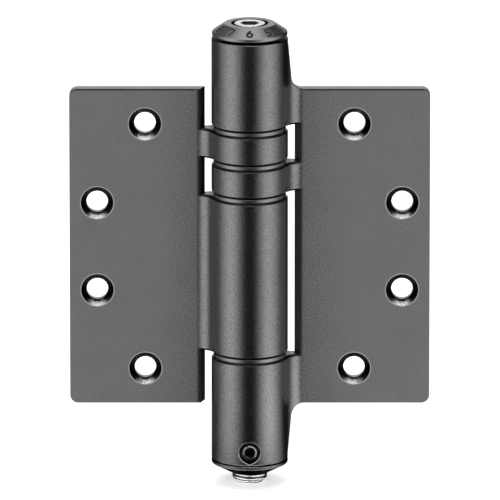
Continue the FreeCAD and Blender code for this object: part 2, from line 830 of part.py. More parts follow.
# Torsion spring, with a leg in the spindle's flange and one in the dial's boss.
coil_start = f"{flange_top} + coil_gap + wire_diameter / 2"
coil_end = f"{boss_bottom} - coil_gap - wire_diameter / 2"
spring = new_body("torsion_spring")
wire = circles(spring, "wire_section", "XZ_Plane", [(coil_radius, coil_start)], "wire_diameter / 2")
document.recompute()
coil = spring.newObject("PartDesign::AdditiveHelix", "coil")
coil.Profile = wire
coil.ReferenceAxis = (wire, ["V_Axis"])
coil.Mode = 2
coil.setExpression("Height", bound(f"{coil_end} - ({coil_start})"))
coil.setExpression("Turns", bound("coil_turns"))
document.recompute()
leg_rise = "leg_length + coil_gap + wire_diameter / 2"
for name, places, start in (
    ("lower_leg", lower_leg, f"{flange_top} - leg_length"),
    ("upper_leg", upper_leg, coil_end),
):
    pad(spring, name, circles(spring, f"{name}_section", "XY_Plane", places, "leg_radius", start), leg_rise)

# Damper: cylinder, gland and seal around the shaft, and a piston that two balls drive along the cam.
cylinder = ring("damper_cylinder", cylinder_inside, sleeve_radius, plug_top, cylinder_top)
ball_places = [(ball_reach, "0"), (f"-{ball_reach}", "0")]
ball_slots = circles(cylinder, "ball_slot_section", "XY_Plane", ball_places, groove_radius, gland_bottom)
cut(cylinder, "ball_slots", ball_slots, f"{gland_bottom} - ({cam_bottom})")

shaft_bore = f"({shaft_radius} + running_clearance)"
gland_radius = f"({cylinder_inside} - seat_clearance)"
gland_middle = f"{gland_bottom} + gland_height / 2"
turned_piece(
    "spindle_gland",
    [
        (shaft_bore, gland_bottom),
        (gland_radius, gland_bottom),
        (gland_radius, cylinder_top),
        (shaft_bore, cylinder_top),
        (shaft_bore, f"{gland_middle} + {seal_groove} / 2"),
        (f"{shaft_radius} + {seal_groove}", f"{gland_middle} + {seal_groove} / 2"),
        (f"{shaft_radius} + {seal_groove}", f"{gland_middle} - {seal_groove} / 2"),
        (shaft_bore, f"{gland_middle} - {seal_groove} / 2"),
    ],
)
seal_ring("spindle_seal", shaft_radius, gland_middle)

crown_middle = f"{piston_bottom} + crown_height / 2"
piston_seal_wall = f"({cylinder_inside} - {seal_groove})"
piston = turned_piece(
    "piston",
    [
        ("orifice_radius", piston_bottom),
        (skirt_radius, piston_bottom),
        (skirt_radius, f"{crown_middle} - {seal_groove} / 2"),
        (piston_seal_wall, f"{crown_middle} - {seal_groove} / 2"),
        (piston_seal_wall, f"{crown_middle} + {seal_groove} / 2"),
        (skirt_radius, f"{crown_middle} + {seal_groove} / 2"),
        (skirt_radius, skirt_top),
        (skirt_inside, skirt_top),
        (skirt_inside, crown_top),
        ("orifice_radius", crown_top),
    ],
)
ball_hole = circles(
    piston, "ball_hole_section", "YZ_Plane", [("0", ball_level)], "ball_radius + running_clearance"
)
cut(piston, "ball_holes", ball_hole, "4 * barrel_radius", both=True)
seal_ring("piston_seal", piston_seal_wall, crown_middle)
for label, sign in (("drive_ball_right", ""), ("drive_ball_left", "-")):
    ball = document.addObject("Part::Sphere", label)
    register(ball, label)
    ball.setExpression("Radius", bound("ball_radius"))
    ball.setExpression("Placement.Base.x", bound(f"{sign}{ball_reach}"))
    ball.setExpression("Placement.Base.z", bound(f"leaf_middle + {ball_level}"))

# End plug: spigot with the set screw's groove and a seal, and the cone below the barrel.
plug_face = f"{stack_bottom} - plug_gap"
plug_seal_wall = f"({frame_bore} - {seal_groove})"
screw_groove = f"({sleeve_radius} - plug_groove_depth)"
plug = turned_piece(
    "end_plug",
    [
        (plug_bore, cone_bottom),
        (f"{plug_bore} + plug_lip", cone_bottom),
        ("barrel_radius", cone_top),
        ("barrel_radius", plug_face),
        (sleeve_radius, plug_face),
        (sleeve_radius, f"{screw_level} - {screw_groove_half}"),
        (screw_groove, f"{screw_level} - {screw_groove_half}"),
        (screw_groove, f"{screw_level} + {screw_groove_half}"),
        (sleeve_radius, f"{screw_level} + {screw_groove_half}"),
        (sleeve_radius, f"{plug_seal_middle} - {seal_groove} / 2"),
        (plug_seal_wall, f"{plug_seal_middle} - {seal_groove} / 2"),
        (plug_seal_wall, f"{plug_seal_middle} + {seal_groove} / 2"),
        (sleeve_radius, f"{plug_seal_middle} + {seal_groove} / 2"),
        (sleeve_radius, plug_top),
        (neck_bore, plug_top),
        (neck_bore, shoulder),
        (plug_bore, shoulder),
    ],
)
plug_radius = number("barrel_radius")


def round_plug(name, radius, level):
    height = number(level)

    def at_level(edge):
        at_rim = hasattr(edge.Curve, "Radius") and near(edge.Curve.Radius, plug_radius)
        return at_rim and near(edge.BoundBox.ZMin, height)

    round_edges(plug, name, radius, at_level)


round_plug("plug_face_edge", "plug_face_round", plug_face)
round_plug("plug_rim", "plug_rim_round", cone_top)
seal_ring("end_plug_seal", plug_seal_wall, plug_seal_middle)

# Speed regulator: threaded stub, sealed neck and a needle that reaches into the piston's orifice.
neck_bottom = f"{shoulder} - end_play"
neck_top = f"{plug_top} - bottom_gap"
neck_seal_middle = f"{shoulder} + neck_seal_rise"
neck_seal_wall = f"({neck_bore} - {seal_groove})"
needle_top = f"{piston_bottom} + needle_rise"
regulator = turned_piece(
    "speed_regulator",
    [
        ("0", regulator_bottom),
        ("regulator_radius - regulator_edge", regulator_bottom),
        ("regulator_radius", f"{regulator_bottom} + regulator_edge"),
        ("regulator_radius", neck_bottom),
        ("neck_radius", neck_bottom),
        ("neck_radius", f"{neck_seal_middle} - {seal_groove} / 2"),
        (neck_seal_wall, f"{neck_seal_middle} - {seal_groove} / 2"),
        (neck_seal_wall, f"{neck_seal_middle} + {seal_groove} / 2"),
        ("neck_radius", f"{neck_seal_middle} + {seal_groove} / 2"),
        ("neck_radius", neck_top),
        ("needle_radius", neck_top),
        ("needle_radius", f"{needle_top} - needle_taper"),
        ("needle_tip_radius", needle_top),
        ("0", needle_top),
    ],
)
regulator_socket = hexagon(
    regulator, "socket_outline", "XY_Plane", "regulator_hex", "0", regulator_bottom
)
cut(regulator, "socket", regulator_socket, "regulator_hex_depth", away=True)
seal_ring("regulator_seal", neck_seal_wall, neck_seal_middle)

document.recompute()
for item in document.Objects:
    if "Invalid" in item.State or "Error" in item.State:
        raise ValueError(f"{item.Label} did not build: {item.State}")
for piece in sub_parts:
    if piece.Shape.isNull() or not piece.Shape.isValid() or len(piece.Shape.Solids) != 1:
        raise ValueError(f"{piece.Label} is not one sound solid")

os.makedirs("parts", exist_ok=True)
for piece in sub_parts:
    piece.Shape.exportStep(f"parts/{piece.Label}.step")
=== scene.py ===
import bmesh
import bpy
import json
import math
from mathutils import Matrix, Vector

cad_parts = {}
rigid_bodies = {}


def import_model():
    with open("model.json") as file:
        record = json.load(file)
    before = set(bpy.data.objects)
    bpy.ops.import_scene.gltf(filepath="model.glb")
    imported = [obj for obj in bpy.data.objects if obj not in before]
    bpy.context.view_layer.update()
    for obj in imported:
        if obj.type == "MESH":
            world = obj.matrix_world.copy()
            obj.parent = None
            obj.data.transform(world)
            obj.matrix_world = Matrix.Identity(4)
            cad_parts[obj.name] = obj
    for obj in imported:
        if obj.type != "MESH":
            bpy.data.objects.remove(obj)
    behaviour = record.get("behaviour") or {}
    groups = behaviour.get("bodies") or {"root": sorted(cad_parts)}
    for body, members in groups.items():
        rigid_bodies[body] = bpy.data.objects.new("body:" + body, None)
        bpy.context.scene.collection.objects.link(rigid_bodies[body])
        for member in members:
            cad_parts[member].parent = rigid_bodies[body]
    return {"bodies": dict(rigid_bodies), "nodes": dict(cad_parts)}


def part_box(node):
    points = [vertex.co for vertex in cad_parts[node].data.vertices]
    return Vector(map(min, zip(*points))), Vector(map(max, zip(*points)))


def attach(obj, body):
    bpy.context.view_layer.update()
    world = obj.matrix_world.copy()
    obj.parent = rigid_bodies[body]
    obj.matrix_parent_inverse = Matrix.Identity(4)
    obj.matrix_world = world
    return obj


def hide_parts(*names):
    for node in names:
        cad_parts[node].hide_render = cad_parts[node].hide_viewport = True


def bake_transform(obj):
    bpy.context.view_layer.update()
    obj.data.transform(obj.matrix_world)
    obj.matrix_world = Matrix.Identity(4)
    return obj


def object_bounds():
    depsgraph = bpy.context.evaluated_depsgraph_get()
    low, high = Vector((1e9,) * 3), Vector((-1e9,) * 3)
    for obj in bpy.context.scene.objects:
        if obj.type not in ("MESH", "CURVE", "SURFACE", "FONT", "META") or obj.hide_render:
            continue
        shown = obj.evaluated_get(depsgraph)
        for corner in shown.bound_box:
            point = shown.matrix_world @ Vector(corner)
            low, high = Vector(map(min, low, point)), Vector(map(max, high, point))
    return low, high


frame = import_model()
nodes = frame["nodes"]
scene = bpy.context.scene
known = set(nodes.values()) | set(frame["bodies"].values())
for extra in [item for item in bpy.data.objects if item not in known]:
    bpy.data.objects.remove(extra)
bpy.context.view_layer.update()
print("frame loaded,", len(nodes), "nodes")


# small helpers for node trees
def feed(tree, socket, value):
    if isinstance(value, bpy.types.NodeSocket):
        tree.links.new(value, socket)
    else:
        socket.default_value = value


def put(tree, kind, inputs=None, **settings):
    node = tree.nodes.new(kind)
    for name, value in settings.items():
        setattr(node, name, value)
    for key, value in (inputs or {}).items():
        feed(tree, node.inputs[key], value)
    return node


def calc(tree, operation, *values):
    return put(tree, "ShaderNodeMath", dict(enumerate(values)), operation=operation).outputs[0]


def between(tree, value, low, high, start=0.0, end=1.0):
    limits = {0: value, 1: low, 2: high, 3: start, 4: end}
    return put(tree, "ShaderNodeMapRange", limits, interpolation_type="SMOOTHSTEP").outputs[0]


def mixValue(tree, factor, first, second):
    return put(tree, "ShaderNodeMix", {0: factor, 2: first, 3: second}, data_type="FLOAT").outputs[0]


def mixColour(tree, factor, first, second):
    return put(tree, "ShaderNodeMix", {0: factor, 6: first, 7: second}, data_type="RGBA").outputs[2]


def product(tree, first, *others):
    for other in others:
        first = calc(tree, "MULTIPLY", first, other)
    return first


# 1 up to the first limit, 0 past the second
def fading(tree, value, limits):
    return between(tree, value, *limits, 1.0, 0.0)


# 1 where value is near middle, fading as it moves away
def closeTo(tree, value, middle, limits):
    return fading(tree, calc(tree, "ABSOLUTE", calc(tree, "SUBTRACT", value, middle)), limits)


def vectorCalc(tree, operation, first, second):
    return put(tree, "ShaderNodeVectorMath", {0: first, 1: second}, operation=operation).outputs


def grey(level):
    return (level, level, level, 1.0)


def axisDistance(tree, place):
    x, y, z = put(tree, "ShaderNodeSeparateXYZ", {0: place}).outputs
    square = calc(tree, "ADD", product(tree, x, x), product(tree, y, y))
    return calc(tree, "SQRT", square), z


def newGroup(name, inputs, outputs):
    group = bpy.data.node_groups.new(name, "ShaderNodeTree")
    for label, value in inputs.items():
        socket = group.interface.new_socket(label, in_out="INPUT", socket_type="NodeSocketFloat")
        socket.default_value = value
    for label in outputs:
        kind = "NodeSocketVector" if label == "Normal" else "NodeSocketFloat"
        group.interface.new_socket(label, in_out="OUTPUT", socket_type=kind)
    return group, group.nodes.new("NodeGroupInput").outputs, group.nodes.new("NodeGroupOutput").inputs


# grain of a sprayed coat: fine grain, broad mottle and a few dark specks
coatForm = {"grainDetail": 2.0, "mottleDetail": 3.0, "speckChosen": (0.68, 0.7), "speckSize": (0.02, 0.045)}


def makeCoatGrain(form):
    group, given, result = newGroup(
        "coatGrain",
        {"Grain Size": 0.0003, "Mottle Size": 0.012, "Speck Spacing": 0.006},
        ("Grain", "Mottle", "Speck"),
    )
    place = put(group, "ShaderNodeTexCoord").outputs["Object"]
    perGrain = calc(group, "DIVIDE", 1.0, given["Grain Size"])
    perMottle = calc(group, "DIVIDE", 1.0, given["Mottle Size"])
    perSpeck = calc(group, "DIVIDE", 1.0, given["Speck Spacing"])
    grain = put(
        group, "ShaderNodeTexNoise", {"Vector": place, "Scale": perGrain, "Detail": form["grainDetail"]}
    )
    mottle = put(
        group, "ShaderNodeTexNoise", {"Vector": place, "Scale": perMottle, "Detail": form["mottleDetail"]}
    )
    cells = put(group, "ShaderNodeTexVoronoi", {"Vector": place, "Scale": perSpeck}).outputs
    cellValue = put(group, "ShaderNodeSeparateColor", {0: cells["Color"]}).outputs[0]
    chosen = between(group, cellValue, *form["speckChosen"])
    dot = fading(group, cells["Distance"], form["speckSize"])
    feed(group, result["Grain"], grain.outputs[0])
    feed(group, result["Mottle"], mottle.outputs[0])
    feed(group, result["Speck"], product(group, chosen, dot))
    return group


# broken edges: a rounded normal, and the rubbed places where it leaves the surface's own, which the colour
# lightens partly as wear and partly as a painted edge highlight
edgeForm = {"samples": 6, "patchDetail": 3.0, "leaving": (0.99, 0.85), "patches": (0.35, 0.6)}


def makeEdgeWearAndGlint(form):
    group, given, result = newGroup(
        "edgeWearAndGlint", {"Radius": 0.0003, "Patch Size": 0.002}, ("RubbedAndGlint", "Normal")
    )
    place = put(group, "ShaderNodeTexCoord").outputs["Object"]
    own = put(group, "ShaderNodeNewGeometry").outputs["Normal"]
    rounded = put(
        group, "ShaderNodeBevel", {"Radius": given["Radius"]}, samples=form["samples"]
    ).outputs[0]
    alike = vectorCalc(group, "DOT_PRODUCT", own, rounded)["Value"]
    perPatch = calc(group, "DIVIDE", 1.0, given["Patch Size"])
    patch = put(
        group, "ShaderNodeTexNoise", {"Vector": place, "Scale": perPatch, "Detail": form["patchDetail"]}
    ).outputs[0]
    edge = between(group, alike, *form["leaving"])
    feed(group, result["RubbedAndGlint"], product(group, edge, between(group, patch, *form["patches"])))
    feed(group, result["Normal"], rounded)
    return group


# painted shade in joints and sockets, from ambient occlusion: 1 in the open, 0 deep inside
depthSamples = 8


def makeDepthShade(name, ownOnly):
    group, given, result = newGroup(name, {"Reach": 0.0015, "Shut": 0.4, "Clear": 0.93}, ("Open",))
    inside = put(
        group,
        "ShaderNodeAmbientOcclusion",
        {"Distance": given["Reach"]},
        samples=depthSamples,
        only_local=ownOnly,
    ).outputs["AO"]
    feed(group, result["Open"], between(group, inside, given["Shut"], given["Clear"]))
    return group


# rings left by turning: lines that follow the radius on a flat and the height on a round
ringDetail = 2.0


def makeTurnedRings():
    group, given, result = newGroup("turnedRings", {"Ring Size": 0.00025}, ("Rings",))
    place = put(group, "ShaderNodeTexCoord").outputs["Object"]
    reach, height = axisDistance(group, place)
    perRing = calc(group, "DIVIDE", 1.0, given["Ring Size"])
    line = put(group, "ShaderNodeCombineXYZ", {0: reach, 1: 0.0, 2: height}).outputs[0]
    rings = put(group, "ShaderNodeTexNoise", {"Vector": line, "Scale": perRing, "Detail": ringDetail})
    feed(group, result["Rings"], rings.outputs[0])
    return group


coatGrain = makeCoatGrain(coatForm)
edgeWearAndGlint = makeEdgeWearAndGlint(edgeForm)
jointShade = makeDepthShade("jointShade", False)
socketShade = makeDepthShade("socketShade", True)
turnedRings = makeTurnedRings()


def newMaterial(name):
    material = bpy.data.materials.new(name)
    material.use_nodes = True
    tree = material.node_tree
    tree.nodes.clear()
    shader = put(tree, "ShaderNodeBsdfPrincipled")
    put(tree, "ShaderNodeOutputMaterial", {0: shader.outputs[0]})
    return material, tree, shader


def useGroup(tree, group, **inputs):
    node = put(tree, "ShaderNodeGroup", node_tree=group)
    for label, value in inputs.items():
        feed(tree, node.inputs[label.replace("_", " ")], value)
    return node.outputs


noiseSpan = (0.2, 0.8)  # the part of its range that a noise texture mostly fills


def scaled(tree, noise, low, high):
    limits = {0: noise, 1: noiseSpan[0], 2: noiseSpan[1], 3: low, 4: high}
    return put(tree, "ShaderNodeMapRange", limits).outputs[0]


def toned(tree, colour, shade):
    return put(
        tree, "ShaderNodeMix", {0: 1.0, 6: colour, 7: shade}, data_type="RGBA", blend_type="MULTIPLY"
    ).outputs[2]


# dark grey coat of the leaves: satin on the barrel, flat and matt on the ground faces of the leaves; the
# settings also hold painted shade and painted highlights
leafFinish = {
    "barrelTone": 0.215,
    "barrelRough": 0.29,
    "barrelEnd": (0.0142, 0.015),
    "leafTone": 0.135,
    "leafRough": 0.55,
    "leafMetal": 0.12,
    "leafFacing": (0.93, 0.985),
    "frontFacing": (-0.9, -0.5),
    "sinkTone": 0.66,
    "sinkTop": 0.07,
    "sinkRough": 0.15,
    "sinkFacing": 0.656,
    "sinkSpread": (0.05, 0.1),
    "sinkLower": (0.52, 0.75),
    "webReach": (0.0178, 0.0196),
    "webGrainReach": (0.034, 0.018),
    "webGrain": (0.3, 1.4),
    "grainSize": 0.0004,
    "grainShare": 0.5,
    "grainDepth": 0.00004,
    "grainBump": 0.35,
    "mottle": (0.94, 1.06),
    "speckShare": 0.6,
    "speckTone": 0.03,
    "roughSpread": 0.03,
    "edgeRadius": 0.0003,
    "rubGlintTone": 0.42,
    "rubGlintOutside": 0.5,
    "fieldStart": (0.021, 0.023),
    "fieldEnd": (0.061, 0.062),
    "fieldHeight": (0.0535, 0.054),
    "jointReach": 0.0026,
    "jointShut": 0.66,
    "jointShadeStrength": 0.98,
    "bevelRising": 0.707,
    "bevelSpread": (0.06, 0.1),
    "bevelDark": 0.85,
    "edgeDark": 0.9,
    "darkTone": 0.012,
    "topSlope": (0.1, 0.2),
    "topFlat": (0.75, 0.9),
    "topDepth": (0.0014, 0.0012),
    "topLineDepth": (0.0007, 0.0005),
    "topLineFacing": (0.2, 0.4),
    "topLineReach": (0.0185, 0.02),
    "slotFacing": (0.88, 0.92),
    "slotEnd": (0.0195, 0.0205),
    "underFacing": (-0.5, -0.8),
    "underShade": 0.0,
    "glareTint": 1.0,
    "rimGlintTone": 0.42,
    "rimReach": (0.0058, 0.0062),
    "rimLean": 0.707,
    "rimSpread": (0.12, 0.2),
    "holePlaces": ((0.03685, 0.04445), (0.05375, 0.015875)),
    "holeMiddle": 0.002,
    "ringReach": 0.0059,
    "ringSpread": (0.000105, 0.000195),
    "ringGlintTone": 0.34,
}
# a shaded copy of the same coat for the plug below the barrel: darker tone, weaker glare, deeper joint
# shade and painted shade on its downward faces
shadedPlugFinish = {"barrelTone": 0.2, "jointReach": 0.008, "underShade": 0.7, "glareTint": 0.22}


# a painted highlight on the slanted rim of the set screw's seat
def screwRimGlint(tree, coords, reach, settings):
    low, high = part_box("plug_set_screw")
    seat = ((low.x + high.x) / 2, low.y, (low.z + high.z) / 2)
    place, normal = coords["Object"], coords["Normal"]
    away = vectorCalc(tree, "DISTANCE", place, seat)["Value"]
    outwards = vectorCalc(tree, "MULTIPLY", place, (1.0, 1.0, 0.0))[0]
    leaning = calc(tree, "DIVIDE", vectorCalc(tree, "DOT_PRODUCT", outwards, normal)["Value"], reach)
    slope = closeTo(tree, leaning, settings["rimLean"], settings["rimSpread"])
    return product(tree, slope, fading(tree, away, settings["rimReach"]))


# a thin painted highlight ring round each countersink
def sinkGlintRing(tree, place, settings):
    x, _, z = put(tree, "ShaderNodeSeparateXYZ", {0: place}).outputs
    along = calc(tree, "ABSOLUTE", calc(tree, "SUBTRACT", z, settings["holeMiddle"]))
    flat = put(tree, "ShaderNodeCombineXYZ", {0: calc(tree, "ABSOLUTE", x), 2: along}).outputs[0]
    ring = 0.0
    for holeX, holeZ in settings["holePlaces"]:
        away = vectorCalc(tree, "DISTANCE", flat, (holeX, 0.0, holeZ))["Value"]
        spot = closeTo(tree, away, settings["ringReach"], settings["ringSpread"])
        ring = calc(tree, "MAXIMUM", ring, spot)
    return ring


# painted shade on the upper edges of the leaves and on the faces of the slots beside the barrel
def edgeShade(tree, reach, height, across, towards, upwards, settings):
    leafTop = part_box("door_leaf")[1].z

    def fromTop(depths):
        return between(tree, height, *(leafTop - depth for depth in depths))

    pastBarrel = between(tree, reach, *settings["barrelEnd"])
    slope = product(
        tree, between(tree, upwards, *settings["topSlope"]), fading(tree, upwards, settings["topFlat"])
    )
    upper = product(tree, slope, fromTop(settings["topDepth"]), pastBarrel)
    line = product(
        tree,
        fromTop(settings["topLineDepth"]),
        between(tree, towards, *settings["topLineFacing"]),
        between(tree, reach, *settings["topLineReach"]),
    )
    slot = product(
        tree,
        between(tree, across, *settings["slotFacing"]),
        pastBarrel,
        fading(tree, reach, settings["slotEnd"]),
    )
    return calc(tree, "MAXIMUM", calc(tree, "MAXIMUM", upper, line), slot)


# masks from 0 to 1 for the parts of a leaf that the coat looks different on, and for the places where shade
# and highlights are painted
def leafMasks(tree, coords, edge, settings):
    reach, height = axisDistance(tree, coords["Object"])
    across, facing, rising = put(tree, "ShaderNodeSeparateXYZ", {0: coords["Normal"]}).outputs
    across, towards = calc(tree, "ABSOLUTE", across), calc(tree, "ABSOLUTE", facing)
    upwards = put(tree, "ShaderNodeSeparateXYZ", {0: edge["Normal"]}).outputs[2]
    pastWeb = between(tree, reach, *settings["webReach"])
    leaf = product(tree, between(tree, towards, *settings["leafFacing"]), pastWeb)
    front = product(tree, leaf, fading(tree, facing, settings["frontFacing"]))
    sink = closeTo(tree, towards, settings["sinkFacing"], settings["sinkSpread"])
    rim = screwRimGlint(tree, coords, reach, settings)
    # painted shade on the 45-degree chamfers at the joints, held off the set screw's rim
    bevel = closeTo(tree, calc(tree, "ABSOLUTE", rising), settings["bevelRising"], settings["bevelSpread"])
    bevel = product(tree, bevel, calc(tree, "SUBTRACT", 1.0, pastWeb))
    bevel = product(tree, bevel, calc(tree, "SUBTRACT", settings["bevelDark"], rim))
    # painted shade in the joints, from ambient occlusion, lifted on the set screw's rim
    depth = useGroup(tree, jointShade, Reach=settings["jointReach"], Shut=settings["jointShut"])["Open"]
    return {
        "leaf": leaf,
        "sunk": product(tree, sink, pastWeb),
        "sinkLower": between(tree, rising, *settings["sinkLower"]),
        "ring": product(tree, sinkGlintRing(tree, coords["Object"], settings), front),
        "nearWeb": product(tree, between(tree, reach, *settings["webGrainReach"]), front),
        "field": product(
            tree,
            between(tree, reach, *settings["fieldStart"]),
            fading(tree, reach, settings["fieldEnd"]),
            fading(tree, calc(tree, "ABSOLUTE", height), settings["fieldHeight"]),
        ),
        "under": between(tree, rising, *settings["underFacing"]),
        "rim": rim,
        "bevel": calc(tree, "MAXIMUM", bevel, 0.0),
        "edge": edgeShade(tree, reach, height, across, towards, upwards, settings),
        "open": calc(tree, "MAXIMUM", depth, rim),
    }


def leafColour(tree, masks, grain, rubbedGlint, settings):
    share, dark = settings["grainShare"], grey(settings["darkTone"])
    colour = mixColour(tree, masks["leaf"], grey(settings["barrelTone"]), grey(settings["leafTone"]))
    # countersinks: painted shade on the downward-facing top of each cone, a lighter tone lower down
    sink = mixColour(tree, masks["sinkLower"], grey(settings["sinkTop"]), grey(settings["sinkTone"]))
    colour = mixColour(tree, masks["sunk"], colour, sink)
    colour = toned(tree, colour, scaled(tree, grain["Mottle"], *settings["mottle"]))
    colour = toned(tree, colour, scaled(tree, grain["Grain"], 1.0 - share, 1.0 + share))
    # edges lightened partly as rubbed wear and partly as a painted edge highlight
    rubbedGlint = product(tree, rubbedGlint, mixValue(tree, masks["field"], settings["rubGlintOutside"], 1.0))
    colour = mixColour(tree, rubbedGlint, colour, grey(settings["rubGlintTone"]))
    # painted highlight ring round each countersink
    colour = mixColour(tree, masks["ring"], colour, grey(settings["ringGlintTone"]))
    webGrain = scaled(tree, grain["Grain"], *settings["webGrain"])
    colour = toned(tree, colour, mixValue(tree, masks["nearWeb"], 1.0, webGrain))
    specks = product(tree, grain["Speck"], settings["speckShare"])
    colour = mixColour(tree, specks, colour, grey(settings["speckTone"]))
    # painted shade on downward faces, used by the plug's shaded copy
    colour = toned(tree, colour, mixValue(tree, masks["under"], 1.0, 1.0 - settings["underShade"]))
    # painted highlight on the set screw's rim
    colour = mixColour(tree, masks["rim"], colour, grey(settings["rimGlintTone"]))
    # painted shade on the joint chamfers
    colour = mixColour(tree, masks["bevel"], colour, dark)
    # painted shade on the leaves' upper edges and the slot faces
    colour = mixColour(tree, product(tree, masks["edge"], settings["edgeDark"]), colour, dark)
    # painted shade in the joints, darkening the colour where the occlusion is deep
    return toned(tree, colour, mixValue(tree, masks["open"], 1.0 - settings["jointShadeStrength"], 1.0))


def makeLeafFinish(name, settings):
    material, tree, shader = newMaterial(name)
    coords = put(tree, "ShaderNodeTexCoord").outputs
    grain = useGroup(tree, coatGrain, Grain_Size=settings["grainSize"])
    edge = useGroup(tree, edgeWearAndGlint, Radius=settings["edgeRadius"])
    masks = leafMasks(tree, coords, edge, settings)
    rough = mixValue(tree, masks["leaf"], settings["barrelRough"], settings["leafRough"])
    rough = mixValue(tree, masks["sunk"], rough, settings["sinkRough"])
    spread = settings["roughSpread"]
    rough = calc(tree, "ADD", rough, scaled(tree, grain["Grain"], -spread, spread))
    bump = put(tree, "ShaderNodeBump", {"Height": grain["Grain"], "Normal": edge["Normal"]})
    bump.inputs["Strength"].default_value = settings["grainBump"]
    bump.inputs["Distance"].default_value = settings["grainDepth"]
    shader.inputs["Specular Tint"].default_value = grey(settings["glareTint"])
    feed(tree, shader.inputs["Base Color"], leafColour(tree, masks, grain, edge["RubbedAndGlint"], settings))
    feed(tree, shader.inputs["Metallic"], mixValue(tree, masks["leaf"], 1.0, settings["leafMetal"]))
    feed(tree, shader.inputs["Roughness"], rough)
    feed(tree, shader.inputs["Normal"], bump.outputs[0])
    return material


# coated or bare metals, each with its own rings, edges lightened partly as rubbed wear and partly as
# painted highlights, and painted shade in joints or sockets
metalCoat = {
    "grainSize": 0.00025,
    "edgeRadius": 0.00025,
    "edgeGain": 1.3,
    "edgeLift": 0.1,
    "mottle": (0.94, 1.05),
    "deepShadeTone": 0.06,
    "roughSpread": 0.05,
    "ringBump": 0.15,
    "ringDepth": 0.00004,
}
metalFinishes = {
    "dialFinish": {
        "tone": 0.31, "rough": 0.38, "rings": 0.0004, "ringShare": 0.05, "rubGlint": 0.8, "joint": 0.002,
    },
    "washerSteel": {
        "tone": 0.27, "rough": 0.33, "rings": 0.0004, "ringShare": 0.06, "rubGlint": 0.3, "joint": 0.0012,
    },
    "studSteel": {
        "tone": 0.92, "rough": 0.17, "rings": 0.0002, "ringShare": 0.1, "rubGlint": 0.0, "joint": 0.003,
    },
    "brightSteel": {
        "tone": 0.9, "rough": 0.17, "rings": 0.0002, "ringShare": 0.1, "rubGlint": 0.2, "socket": 0.004,
    },
    "plainSteel": {
        "tone": 0.46, "rough": 0.32, "rings": 0.0003, "ringShare": 0.12, "rubGlint": 0.3, "socket": 0.002,
    },
    "springSteel": {
        "tone": 0.2, "rough": 0.36, "rings": 0.0008, "ringShare": 0.1, "rubGlint": 0.2, "socket": 0.001,
    },
    "bronze": {
        "tone": (0.6, 0.38, 0.17),
        "rough": 0.34, "rings": 0.0003, "ringShare": 0.12, "rubGlint": 0.2, "socket": 0.001,
    },
    "pistonMetal": {
        "tone": 0.7, "rough": 0.28, "rings": 0.0003, "ringShare": 0.14, "rubGlint": 0.2, "socket": 0.002,
    },
    "blackenedSteel": {
        "tone": 0.07, "rough": 0.36, "rings": 0.0003, "ringShare": 0.08, "rubGlint": 1.0, "socket": 0.002,
        "edgeTone": 0.6,
        "screwGlint": {
            "start": (0.0021, 0.0022), "end": (0.00236, 0.00246), "patchScale": 700.0, "glintPatches": (0.92, 1.08),
        },
    },
    # darker copy of the bright steel for the thread's groove faces: painted shade in the groove
    "threadSteel": {
        "tone": 0.7, "rough": 0.25, "rings": 0.0003, "ringShare": 0.08, "rubGlint": 0.0, "socket": 0.001,
    },
}


# a broken painted highlight ring round the socket of the set screw
def screwGlintRing(tree, mottle, settings):
    low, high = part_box("plug_set_screw")
    place = put(tree, "ShaderNodeTexCoord").outputs["Object"]
    x, _, z = put(tree, "ShaderNodeSeparateXYZ", {0: place}).outputs
    across = calc(tree, "SUBTRACT", x, (low.x + high.x) / 2)
    along = calc(tree, "SUBTRACT", z, (low.z + high.z) / 2)
    square = calc(tree, "ADD", product(tree, across, across), product(tree, along, along))
    away = calc(tree, "SQRT", square)
    band = product(tree, between(tree, away, *settings["start"]), fading(tree, away, settings["end"]))
    patch = put(tree, "ShaderNodeTexNoise", {"Vector": place, "Scale": settings["patchScale"]}).outputs[0]
    return product(tree, band, between(tree, calc(tree, "ADD", patch, mottle), *settings["glintPatches"]))


